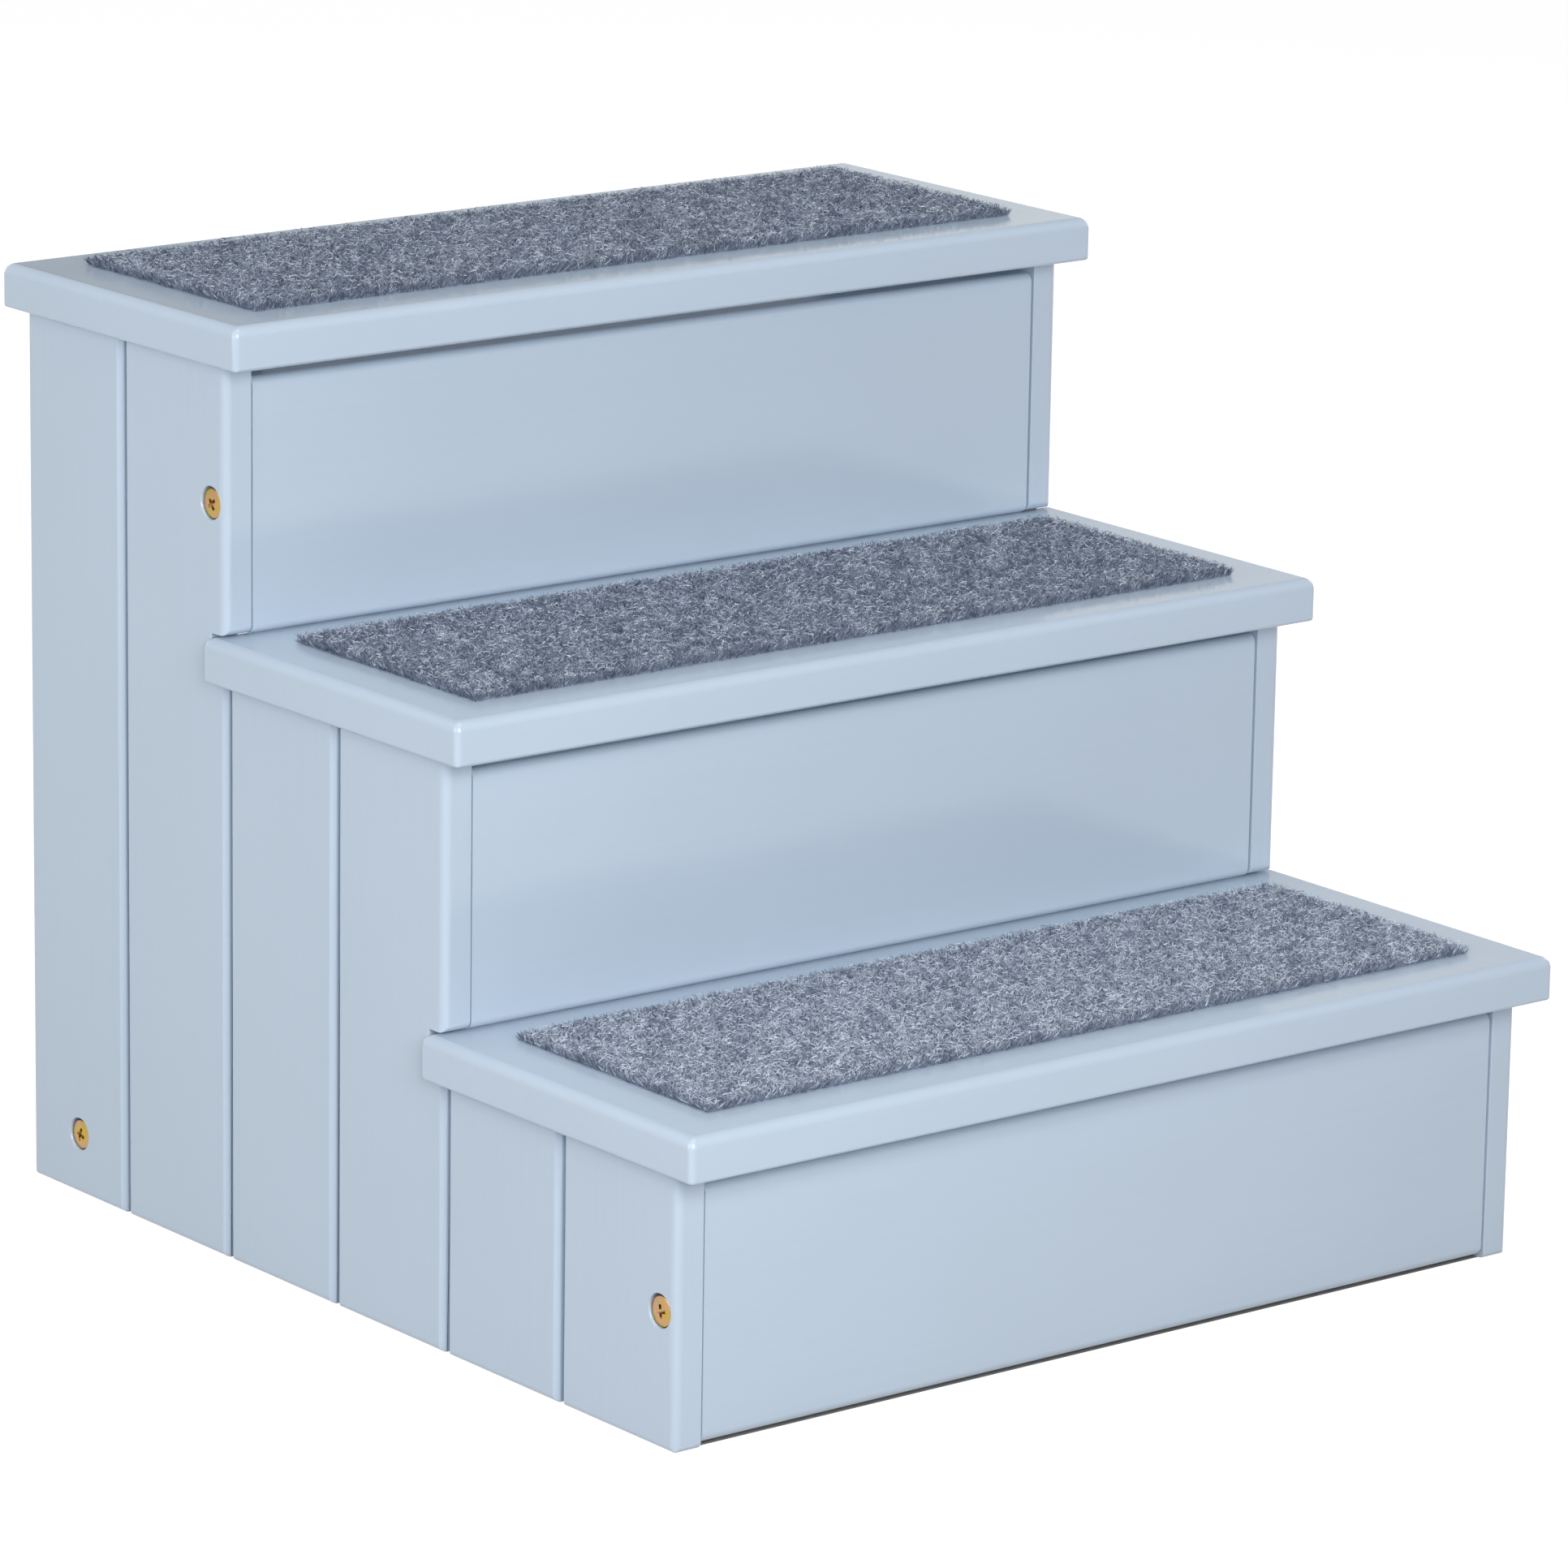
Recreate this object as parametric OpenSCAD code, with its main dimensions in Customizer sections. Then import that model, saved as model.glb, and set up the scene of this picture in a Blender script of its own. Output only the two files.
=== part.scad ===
// Pet stairs with three steps: side panels of upright tongued boards, treads that
// stand proud at the front and sides, risers between the panels, and carpet mats.
// The origin is on the floor, under the middle of the stairs. The front faces -Y.

/* [Body] */
// Width across the outer faces of the side panels
body_w = 400; // [300:1:600]
// Height of the lowest tread's top above the floor
first_rise = 120; // [110:1:170]
// Height from the top of one tread to the top of the next
rise = 120; // [105:1:170]

/* [Side boards] */
// Thickness of the side boards
board_t = 12; // [10:0.5:16]
// Width of a full side board
board_w = 69.5; // [60:0.5:100]
// Width of the trimmed board at the rear
rear_board_w = 63; // [55:0.5:100]
// Chamfer on each side of a vee joint
vee_w = 2; // [0.5:0.25:3]
// Gap between the outer shoulders of two boards, where their inner shoulders meet
joint_gap = 2.5; // [0:0.25:4]
// Rounding of the front corners that show above each tread
board_front_round = 3.5; // [1:0.25:4]
// Rounding of the outer bottom edges
board_foot_round = 2.5; // [1:0.25:4]
// Rounding of the outer rear corners
board_rear_round = 2; // [1:0.25:4]
// Thickness of the tongues
tongue_t = 3; // [2:0.25:4]
// Depth of the tongues
tongue_d = 5; // [3:0.5:7]
// Gap between a tongue and its groove, all round
tongue_clearance = 0.2; // [0.1:0.05:0.4]

/* [Treads] */
// Thickness of the treads
tread_t = 17; // [15:0.5:24]
// How far a tread stands in front of its riser's plane
front_overhang = 14; // [6:0.5:25]
// How far a tread stands out beyond the side panels
side_overhang = 5; // [3:0.5:15]
// How far the top tread stands out behind the side panels
back_overhang = 10; // [1:0.5:20]
// How far a lower tread reaches in under the riser above it
tuck_d = 8; // [6:0.5:12]
// Gap between a tread and the notch that its back edge sits in
tuck_clearance = 1.2; // [0.3:0.1:2]
// Rounding of the top edges
tread_top_round = 4; // [1:0.25:5]
// Rounding of the bottom edges
tread_bottom_round = 1.5; // [0.5:0.25:4]
// Rounding of the upright corners
tread_corner_round = 2.5; // [1:0.25:5]

/* [Risers] */
// Thickness of the risers
riser_t = 18; // [16:0.5:22]
// How far the risers' faces lie behind the front edges of the boards
riser_inset = 0.5; // [0.25:0.25:2]
// Gap between the lowest riser and the floor
riser_floor_gap = 1.5; // [0.5:0.25:6]
// Gap between a riser and the tread above it
riser_head_gap = 3; // [0:0.25:4]
// Rounding of the front edges along the top and the bottom
riser_edge_round = 3.5; // [1:0.25:5]
// Easing of the sharp edges beside the joint of riser and board
joint_ease = 0.4; // [0.2:0.1:1.5]

/* [Carpet mats] */
// Thickness of the mats with their pile
carpet_t = 5; // [2:0.25:8]
// Depth of a mat from front to back
carpet_depth = 112; // [80:1:130]
// Distance from a mat to each end of its tread
carpet_side_margin = 24; // [10:1:60]
// Distance from a mat to the front edge of its tread
carpet_front_margin = 22; // [10:1:40]
// Rounding of the mats' corners
carpet_corner_round = 1.5; // [0.5:0.25:6]

/* [Rear rail] */
// Thickness of the rail
rail_t = 18; // [16:0.5:22]
// Height of the rail
rail_h = 44; // [38:1:60]
// Gap between the rail and the floor
rail_floor_gap = 2; // [0.5:0.25:10]
// Distance from the rail's back face to the back edges of the side panels
rail_setback = 23; // [10:1:30]
// Rounding of the long edges
rail_round = 2; // [0.5:0.25:4]

/* [Cleats] */
// Thickness of the cleats under the treads
cleat_t = 18; // [15:0.5:22]
// Height of the cleats
cleat_h = 22; // [16:0.5:26]
// Distance from a cleat to the back edges of the side panels
cleat_rear_gap = 8; // [2:0.5:20]
// Rounding of the long edge that faces the middle of the stairs
cleat_round = 2; // [0.5:0.25:4]

/* [Bolts] */
// Diameter of the bolts' shanks
bolt_d = 6; // [5:0.25:7]
// Length of a bolt under its head
bolt_l = 50; // [40:1:60]
// Diameter of the bolt heads
bolt_head_d = 12; // [10:0.25:14]
// Height of the bolt heads, dome and all
bolt_head_h = 3; // [2:0.25:3.5]
// Height of the straight rim of a bolt head
bolt_rim_h = 1.2; // [0.5:0.1:1.8]
// Depth of the counterbores in the side boards
counterbore_d = 3.8; // [3:0.1:4.5]
// Chamfer round the mouths of the counterbores
counterbore_chamfer = 0.5; // [0.25:0.25:1]
// Gap round a bolt head in its counterbore
head_clearance = 0.6; // [0.3:0.1:1]
// Gap round a bolt in the side board and the riser
bolt_clearance = 0.5; // [0.25:0.05:0.75]
// Gap round a bolt in its barrel nut
thread_clearance = 0.05; // [0.02:0.01:0.1]
// Span of the cross recess in a bolt head
bolt_cross_w = 5.6; // [4:0.1:7]
// Width of the arms of the cross recess
bolt_cross_arm = 1.2; // [0.8:0.1:1.6]
// Depth of the cross recess
bolt_cross_d = 2; // [1:0.1:2]

/* [Barrel nuts] */
// Diameter of the barrel nuts
barrel_d = 10; // [9:0.25:12]
// Length of the barrel nuts
barrel_l = 12; // [10:0.5:13]
// Gap round a barrel nut in its hole
barrel_clearance = 0.2; // [0.1:0.05:0.4]
// Width of the screwdriver slot in a barrel nut
barrel_slot_w = 1.2; // [0.8:0.1:2]
// Depth of the screwdriver slot
barrel_slot_d = 1; // [0.5:0.25:1.5]

/* [Dowels] */
// Diameter of the dowels
dowel_d = 6; // [5:0.25:8]
// Length of the dowels
dowel_l = 28; // [20:1:40]
// Depth of the dowel holes in the side boards
dowel_board_d = 6; // [4:0.5:7]
// Gap past the end of a dowel, bolt or barrel nut in its blind hole
end_gap = 0.5; // [0.25:0.25:1]
// Chamfer of the dowels' ends
dowel_chamfer = 0.8; // [0.4:0.1:1.2]
// Height from the rail's middle to its dowel
rail_dowel_up = 13; // [10:0.5:14]

/* [Wood screws] */
// Diameter of the wood screws
screw_d = 4; // [3:0.25:5]
// Diameter of the countersunk heads
screw_head_d = 8; // [6:0.25:9]
// Height of the countersunk heads
screw_head_h = 2.4; // [1.5:0.1:3]
// Length of the point
screw_tip_l = 4; // [2:0.5:5]
// How far a screw enters a side board
board_screw_bite = 7; // [5:0.25:7.5]
// How far a screw enters a tread
tread_screw_bite = 12; // [8:0.5:13]
// Span of the cross recess in a screw head
screw_cross_w = 4; // [3:0.1:5]
// Width of the arms of that recess
screw_cross_arm = 0.9; // [0.6:0.1:1.2]
// Depth of that recess
screw_cross_d = 1.4; // [0.8:0.1:1.8]

/* [Hidden] */
$fn = 48;

// How far every cutting shape runs past the surface that it cuts
overrun = 1;

// Places of the screws that hold a tread, as shares of the cleat's length under it
tread_screw_shares = [0.3, 0.9];
// Places up a riser, as shares of its height, of the dowels at its ends
riser_dowel_shares = [0.2, 0.8];
// Turn in degrees of each bolt's cross recess, front, top and rear
cross_turns = [8, 24, -18];

step_count = 3;
// Steps whose risers are bolted to the side panels
bolted_steps = [1, step_count];
boards_per_step = 2;
board_count = step_count * boards_per_step;

half_w = body_w / 2;
inner_x = half_w - board_t;
body_d = (board_count - 1) * board_w + rear_board_w;
run = boards_per_step * board_w;
total_d = front_overhang + body_d + back_overhang;
front_y = front_overhang - total_d / 2;
back_y = front_y + body_d;

function step_front(s) = front_y + (s - 1) * run;
function tread_top(s) = first_rise + (s - 1) * rise;
function tread_bottom(s) = tread_top(s) - tread_t;
function tread_front(s) = step_front(s) - front_overhang;
function tread_back(s) = s < step_count ? step_front(s + 1) + tuck_d : back_y + back_overhang;

function board_front(i) = front_y + (i - 1) * board_w;
function board_width(i) = i < board_count ? board_w : rear_board_w;
function board_mid(i) = board_front(i) + board_width(i) / 2;
function board_step(i) = ceil(i / boards_per_step);
function board_top(i) = tread_bottom(board_step(i));
// Height up to which the board in front covers this board's front edge
function covered_top(i) = i > 1 ? board_top(i - 1) : 0;
function starts_step(i) = i % boards_per_step == 1;
// Lowest point of the front edge that shows
function shown_bottom(i) = i > 1 ? covered_top(i) + tread_t + tuck_clearance : 0;

function riser_bottom(s) = s > 1 ? tread_top(s - 1) : riser_floor_gap;
function riser_h(s) = tread_bottom(s) - riser_head_gap - riser_bottom(s);
function riser_front(s) = step_front(s) + riser_inset;
function riser_mid_y(s) = riser_front(s) + riser_t / 2;
function riser_mid_z(s) = riser_bottom(s) + riser_h(s) / 2;

rail_back = back_y - rail_setback;
rail_mid_y = rail_back - rail_t / 2;
rail_mid_z = rail_floor_gap + rail_h / 2;

cleat_back = back_y - cleat_rear_gap;
cleat_mid_x = inner_x - cleat_t / 2;
function cleat_front(s) = riser_front(s) + riser_t;
function cleat_bottom(s) = tread_bottom(s) - cleat_h;
function cleat_mid_z(s) = tread_bottom(s) - cleat_h / 2;
function cleat_under_tread(s) = min(tread_back(s), cleat_back) - cleat_front(s);
function tread_screw_y(s, share) = cleat_front(s) + share * cleat_under_tread(s);

// Each fixing through the side panels, as its places [y, z]
bolt_places = concat(
    [for (s = bolted_steps) [riser_mid_y(s), riser_mid_z(s)]],
    [[rail_mid_y, rail_mid_z]]
);
rail_dowel_place = [rail_mid_y, rail_mid_z + rail_dowel_up];
function riser_dowel_places(s) = [
    for (share = riser_dowel_shares) [riser_mid_y(s), riser_bottom(s) + share * riser_h(s)]
];
dowel_places = concat(
    [for (s = [1:step_count]) each riser_dowel_places(s)],
    [rail_dowel_place]
);

// A bolt's seat under its head, and how far the bolt then reaches into the wood
seat_x = half_w - counterbore_d;
bolt_reach = bolt_l - (seat_x - inner_x);
// Depth from the end of a riser to the middle of its barrel nut
nut_depth = bolt_reach - barrel_d;
dowel_wood_d = dowel_l - dowel_board_d + 2 * end_gap;

paint = [0.73, 0.79, 0.85];
carpet_grey = [0.45, 0.49, 0.56];
yellow_zinc = [0.78, 0.62, 0.28];
beech = [0.82, 0.66, 0.46];

// Runs a flat shape drawn in Y and Z along X
module along_x(length) {
    rotate([90, 0, 90])
        linear_extrude(length)
            children();
}

// Runs a flat shape drawn in X and Z along Y
module along_y(length) {
    translate([0, length, 0])
        rotate([90, 0, 0])
            linear_extrude(length)
                children();
}

// Turns a shape that stands on the floor at the origin to point along +X
module point_inwards() {
    rotate([0, 90, 0])
        children();
}

// Repeats what the left side has on the right side
module both_sides() {
    children();
    mirror([1, 0, 0])
        children();
}

// What is cut away outside a rounded corner at the origin of the first quadrant
module round_waste(r) {
    difference() {
        translate([-overrun, -overrun])
            square(r + overrun);
        translate([r, r])
            circle(r);
    }
}

// What is cut away outside a chamfered corner at the origin of the first quadrant
module chamfer_waste(c) {
    polygon([[-overrun, -overrun], [c + overrun, -overrun], [-overrun, c + overrun]]);
}

// A block whose edges are rounded: its top edges, bottom edges and upright corners
module eased_slab(size, top_r, bottom_r, corner_r) {
    difference() {
        cube(size);
        for (end = [0, 1], face = [0, 1])
            let (r = face == 1 ? top_r : bottom_r) {
                translate([-overrun, end * size.y, face * size.z])
                    mirror([0, end, 0])
                        mirror([0, 0, face])
                            along_x(size.x + 2 * overrun)
                                round_waste(r);
                translate([end * size.x, -overrun, face * size.z])
                    mirror([end, 0, 0])
                        mirror([0, 0, face])
                            along_y(size.y + 2 * overrun)
                                round_waste(r);
            }
        for (right = [0, 1], back = [0, 1])
            translate([right * size.x, back * size.y, -overrun])
                mirror([right, 0, 0])
                    mirror([0, back, 0])
                        linear_extrude(size.z + 2 * overrun)
                            round_waste(corner_r);
    }
}

// Two crossed slots, for a screwdriver, that start at the origin and go up
module cross_recess(span, arm, depth) {
    for (turn = [0, 90])
        rotate([0, 0, turn])
            translate([-span / 2, -arm / 2, -overrun])
                cube([span, arm, depth + overrun]);
}

// A side board of the left panel, before its holes. Its outer face is at x = 0.
module plain_board(i) {
    width = board_width(i);
    top = board_top(i);
    covered = covered_top(i);
    shown = shown_bottom(i);
    shoulder_d = (board_t - tongue_t) / 2;
    difference() {
        union() {
            cube([board_t, width, top]);
            if (i < board_count)
                translate([shoulder_d, width, 0])
                    cube([tongue_t, tongue_d, top]);
        }
        // Vee joint and groove, where the next board forward covers the front edge
        if (i > 1) {
            translate([0, 0, -overrun])
                linear_extrude(covered + 2 * overrun)
                    chamfer_waste(vee_w);
            translate([shoulder_d - tongue_clearance, -overrun, -overrun])
                cube([
                    tongue_t + 2 * tongue_clearance,
                    tongue_d + tongue_clearance + overrun,
                    covered + 2 * overrun
                ]);
        }
        if (i < board_count) {
            // Outer shoulder behind, set back from the next board, and its half of the vee
            translate([-overrun, width - joint_gap, -overrun])
                cube([shoulder_d + overrun, joint_gap + overrun, top + 2 * overrun]);
            translate([0, width - joint_gap, -overrun])
                mirror([0, 1, 0])
                    linear_extrude(top + 2 * overrun)
                        chamfer_waste(vee_w);
        } else {
            translate([0, width, -overrun])
                mirror([0, 1, 0])
                    linear_extrude(top + 2 * overrun)
                        round_waste(board_rear_round);
        }
        if (starts_step(i)) {
            // Front corners that show, and the rounded end of that stretch
            translate([0, 0, shown - overrun])
                linear_extrude(top - shown + 2 * overrun)
                    round_waste(board_front_round);
            translate([board_t, 0, shown - overrun])
                mirror([1, 0, 0])
                    linear_extrude(top - shown + 2 * overrun)
                        round_waste(joint_ease);
            translate([-overrun, 0, shown])
                along_x(board_t + 2 * overrun)
                    round_waste(i > 1 ? riser_edge_round : board_foot_round);
            // Notch for the back edge of the tread in front
            if (i > 1)
                translate([-overrun, -overrun, covered])
                    cube([
                        board_t + 2 * overrun,
                        tuck_d + tuck_clearance + overrun,
                        tread_t + tuck_clearance
                    ]);
        }
        // Outer bottom edge
        translate([0, -overrun, 0])
            along_y(width + tongue_d + 2 * overrun)
                round_waste(board_foot_round);
    }
}

// The holes of the left panel: bolts, dowels and the screws of the cleats
module panel_holes() {
    for (place = bolt_places)
        translate([-half_w, place[0], place[1]])
            point_inwards() {
                translate([0, 0, -overrun])
                    cylinder(h = board_t + 2 * overrun, d = bolt_d + 2 * bolt_clearance);
                translate([0, 0, -overrun])
                    cylinder(h = counterbore_d + overrun, d = bolt_head_d + 2 * head_clearance);
                translate([0, 0, -overrun])
                    cylinder(
                        h = counterbore_chamfer + overrun,
                        d1 = bolt_head_d + 2 * (head_clearance + counterbore_chamfer + overrun),
                        d2 = bolt_head_d + 2 * head_clearance
                    );
            }
    for (place = dowel_places)
        translate([-inner_x - dowel_board_d, place[0], place[1]])
            point_inwards()
                cylinder(h = dowel_board_d + overrun, d = dowel_d);
    for (s = [1:step_count], i = [1:board_count])
        if (board_step(i) >= s)
            translate([-inner_x - board_screw_bite, board_mid(i), cleat_mid_z(s)])
                point_inwards()
                    cylinder(h = board_screw_bite + overrun, d = screw_d);
}

module left_board(i) {
    color(paint)
        difference() {
            translate([-half_w, board_front(i), 0])
                plain_board(i);
            panel_holes();
        }
}

module right_board(i) {
    mirror([1, 0, 0])
        left_board(i);
}

module tread(s) {
    width = body_w + 2 * side_overhang;
    depth = tread_back(s) - tread_front(s);
    color(paint)
        difference() {
            translate([-width / 2, tread_front(s), tread_bottom(s)])
                eased_slab([width, depth, tread_t], tread_top_round, tread_bottom_round, tread_corner_round);
            for (share = tread_screw_shares)
                both_sides()
                    translate([-cleat_mid_x, tread_screw_y(s, share), tread_bottom(s) - overrun])
                        cylinder(h = tread_screw_bite + overrun, d = screw_d);
        }
}

// Holes for a bolt and its barrel nut at the left end of a riser or rail. The end is
// at x = 0, the bolt's axis is at y = 0, and the nut goes in from the back.
module end_bolt_hole(wood_t) {
    translate([-overrun, 0, 0])
        point_inwards()
            cylinder(h = bolt_reach + end_gap + overrun, d = bolt_d + 2 * bolt_clearance);
    translate([nut_depth, wood_t / 2 + overrun, 0])
        rotate([90, 0, 0])
            cylinder(
                h = (wood_t + barrel_l) / 2 + end_gap + overrun,
                d = barrel_d + 2 * barrel_clearance
            );
}

module end_dowel_hole() {
    translate([-overrun, 0, 0])
        point_inwards()
            cylinder(h = dowel_wood_d + overrun, d = dowel_d);
}

module riser(s) {
    bolted = len(search(s, bolted_steps)) > 0;
    color(paint)
        difference() {
            translate([-inner_x, riser_front(s), riser_bottom(s)])
                difference() {
                    cube([2 * inner_x, riser_t, riser_h(s)]);
                    for (up = [0, 1])
                        translate([-overrun, 0, up * riser_h(s)])
                            mirror([0, 0, up])
                                along_x(2 * (inner_x + overrun))
                                    round_waste(riser_edge_round);
                    for (right = [0, 1])
                        translate([right * 2 * inner_x, 0, -overrun])
                            mirror([right, 0, 0])
                                linear_extrude(riser_h(s) + 2 * overrun)
                                    round_waste(joint_ease);
                }
            both_sides() {
                if (bolted)
                    translate([-inner_x, riser_mid_y(s), riser_mid_z(s)])
                        end_bolt_hole(riser_t);
                for (place = riser_dowel_places(s))
                    translate([-inner_x, place[0], place[1]])
                        end_dowel_hole();
            }
        }
}

module rear_rail() {
    color(paint)
        difference() {
            translate([-inner_x, rail_back - rail_t, rail_floor_gap])
                difference() {
                    cube([2 * inner_x, rail_t, rail_h]);
                    for (back = [0, 1], up = [0, 1])
                        translate([-overrun, back * rail_t, up * rail_h])
                            mirror([0, back, 0])
                                mirror([0, 0, up])
                                    along_x(2 * (inner_x + overrun))
                                        round_waste(rail_round);
                }
            both_sides() {
                translate([-inner_x, rail_mid_y, rail_mid_z])
                    end_bolt_hole(rail_t);
                translate([-inner_x, rail_dowel_place[0], rail_dowel_place[1]])
                    end_dowel_hole();
            }
        }
}

module carpet(s) {
    width = body_w + 2 * (side_overhang - carpet_side_margin);
    color(carpet_grey)
        translate([-width / 2, tread_front(s) + carpet_front_margin, tread_top(s)])
            linear_extrude(carpet_t)
                difference() {
                    square([width, carpet_depth]);
                    for (right = [0, 1], rear = [0, 1])
                        translate([right * width, rear * carpet_depth])
                            mirror([right, 0])
                                mirror([0, rear])
                                    round_waste(carpet_corner_round);
                }
}

module left_cleat(s) {
    length = cleat_back - cleat_front(s);
    color(paint)
        difference() {
            translate([-inner_x, cleat_front(s), cleat_bottom(s)])
                difference() {
                    cube([cleat_t, length, cleat_h]);
                    translate([cleat_t, -overrun, 0])
                        mirror([1, 0, 0])
                            along_y(length + 2 * overrun)
                                round_waste(cleat_round);
                }
            for (i = [1:board_count])
                if (board_step(i) >= s)
                    translate([-inner_x + cleat_t, board_mid(i), cleat_mid_z(s)])
                        rotate([0, -90, 0])
                            screw_hole(cleat_t);
            for (share = tread_screw_shares)
                translate([-cleat_mid_x, tread_screw_y(s, share), cleat_bottom(s)])
                    screw_hole(cleat_h);
        }
}

module right_cleat(s) {
    mirror([1, 0, 0])
        left_cleat(s);
}

// A hole with a countersink for a wood screw's head at the origin, going up
module screw_hole(depth) {
    translate([0, 0, -overrun])
        cylinder(h = depth + 2 * overrun, d = screw_d);
    cylinder(h = screw_head_h, d1 = screw_head_d, d2 = screw_d);
}

// A wood screw whose flat head lies at the origin and whose point goes up
module wood_screw(length) {
    difference() {
        rotate_extrude()
            polygon([
                [0, 0],
                [screw_head_d / 2, 0],
                [screw_d / 2, screw_head_h],
                [screw_d / 2, length - screw_tip_l],
                [0, length]
            ]);
        cross_recess(screw_cross_w, screw_cross_arm, screw_cross_d);
    }
}

// A bolt whose shank goes up from the seat under its head, at the origin
module bolt(turn) {
    dome_h = bolt_head_h - bolt_rim_h;
    head_r = bolt_head_d / 2;
    dome_r = (head_r * head_r + dome_h * dome_h) / (2 * dome_h);
    difference() {
        union() {
            cylinder(h = bolt_l, d = bolt_d);
            intersection() {
                translate([0, 0, -bolt_head_h])
                    cylinder(h = bolt_head_h, r = head_r);
                translate([0, 0, dome_r - bolt_head_h])
                    rotate_extrude()
                        intersection() {
                            circle(dome_r);
                            translate([0, -dome_r])
                                square(2 * dome_r);
                        }
            }
        }
        translate([0, 0, -bolt_head_h])
            rotate([0, 0, turn])
                cross_recess(bolt_cross_w, bolt_cross_arm, bolt_cross_d);
    }
}

module side_bolts() {
    color(yellow_zinc)
        both_sides()
            for (k = [0:len(bolt_places) - 1])
                translate([-seat_x, bolt_places[k][0], bolt_places[k][1]])
                    point_inwards()
                        bolt(cross_turns[k]);
}

module barrel_nuts() {
    color(yellow_zinc)
        both_sides()
            for (place = bolt_places)
                translate([-inner_x + nut_depth, place[0], place[1]])
                    rotate([90, 0, 0])
                        barrel_nut();
}

// A barrel nut along Z, with its thread along X through the origin
module barrel_nut() {
    difference() {
        cylinder(h = barrel_l, d = barrel_d, center = true);
        rotate([0, 90, 0])
            cylinder(
                h = barrel_d + 2 * overrun,
                d = bolt_d + 2 * thread_clearance,
                center = true
            );
        translate([-barrel_d / 2 - overrun, -barrel_slot_w / 2, -barrel_l / 2 - overrun])
            cube([barrel_d + 2 * overrun, barrel_slot_w, barrel_slot_d + overrun]);
    }
}

module dowels() {
    shank_r = dowel_d / 2;
    color(beech)
        both_sides()
            for (place = dowel_places)
                translate([-inner_x - dowel_board_d + end_gap, place[0], place[1]])
                    point_inwards()
                        rotate_extrude()
                            polygon([
                                [0, 0],
                                [shank_r - dowel_chamfer, 0],
                                [shank_r, dowel_chamfer],
                                [shank_r, dowel_l - dowel_chamfer],
                                [shank_r - dowel_chamfer, dowel_l],
                                [0, dowel_l]
                            ]);
}

module cleat_screws() {
    color(yellow_zinc)
        both_sides()
            for (s = [1:step_count], i = [1:board_count])
                if (board_step(i) >= s)
                    translate([-inner_x + cleat_t, board_mid(i), cleat_mid_z(s)])
                        rotate([0, -90, 0])
                            wood_screw(cleat_t + board_screw_bite);
}

module tread_screws() {
    color(yellow_zinc)
        both_sides()
            for (s = [1:step_count], share = tread_screw_shares)
                translate([-cleat_mid_x, tread_screw_y(s, share), cleat_bottom(s)])
                    wood_screw(cleat_h + tread_screw_bite);
}

for (i = [1:board_count]) {
    left_board(i);
    right_board(i);
}
tread(1);  // lower_tread
tread(2);  // middle_tread
tread(3);  // upper_tread
riser(1);  // lower_riser
riser(2);  // middle_riser
riser(3);  // upper_riser
carpet(1);  // lower_carpet
carpet(2);  // middle_carpet
carpet(3);  // upper_carpet
rear_rail();
left_cleat(1);  // left_lower_cleat
left_cleat(2);  // left_middle_cleat
left_cleat(3);  // left_upper_cleat
right_cleat(1);  // right_lower_cleat
right_cleat(2);  // right_middle_cleat
right_cleat(3);  // right_upper_cleat
side_bolts();
barrel_nuts();
dowels();
cleat_screws();
tread_screws();
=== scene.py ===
import math

import bpy
import numpy as np
from mathutils import Matrix, Vector


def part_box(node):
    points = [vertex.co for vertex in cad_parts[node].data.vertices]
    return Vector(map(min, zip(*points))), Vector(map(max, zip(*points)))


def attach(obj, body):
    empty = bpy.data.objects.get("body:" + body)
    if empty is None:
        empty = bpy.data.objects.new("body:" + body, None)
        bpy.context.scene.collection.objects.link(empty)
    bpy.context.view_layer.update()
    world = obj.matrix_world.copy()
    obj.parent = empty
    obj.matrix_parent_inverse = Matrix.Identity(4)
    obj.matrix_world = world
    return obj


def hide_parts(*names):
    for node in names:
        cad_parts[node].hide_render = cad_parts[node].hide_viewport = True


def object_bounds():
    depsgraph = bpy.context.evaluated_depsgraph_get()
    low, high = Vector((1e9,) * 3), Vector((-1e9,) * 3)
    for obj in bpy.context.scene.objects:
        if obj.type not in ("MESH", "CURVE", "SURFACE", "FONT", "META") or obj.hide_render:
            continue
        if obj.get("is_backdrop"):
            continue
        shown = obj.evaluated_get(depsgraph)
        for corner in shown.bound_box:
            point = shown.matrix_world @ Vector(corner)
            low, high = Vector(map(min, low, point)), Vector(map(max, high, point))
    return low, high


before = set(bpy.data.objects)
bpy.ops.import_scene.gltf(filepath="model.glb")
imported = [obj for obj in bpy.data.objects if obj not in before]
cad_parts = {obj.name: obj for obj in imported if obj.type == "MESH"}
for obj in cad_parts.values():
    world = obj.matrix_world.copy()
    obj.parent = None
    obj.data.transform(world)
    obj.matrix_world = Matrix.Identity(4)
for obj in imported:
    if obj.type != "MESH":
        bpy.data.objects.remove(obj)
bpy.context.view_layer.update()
bpy.ops.object.select_all(action="DESELECT")


# Camera
# The view of the photograph: from the front left and a little above, from about three
# metres away through a long lens, so that the upright edges stay nearly parallel.
CAMERA_PLACE = (-1.81105, -2.28697, 0.91758)
CAMERA_HEADING = math.radians(-38.466)
CAMERA_DIP = math.radians(14.347)
CAMERA_ROLL = math.radians(0.922)
CAMERA_LENS = 181.754
CAMERA_SENSOR = 36.0
CAMERA_REACH = 20.0

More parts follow.
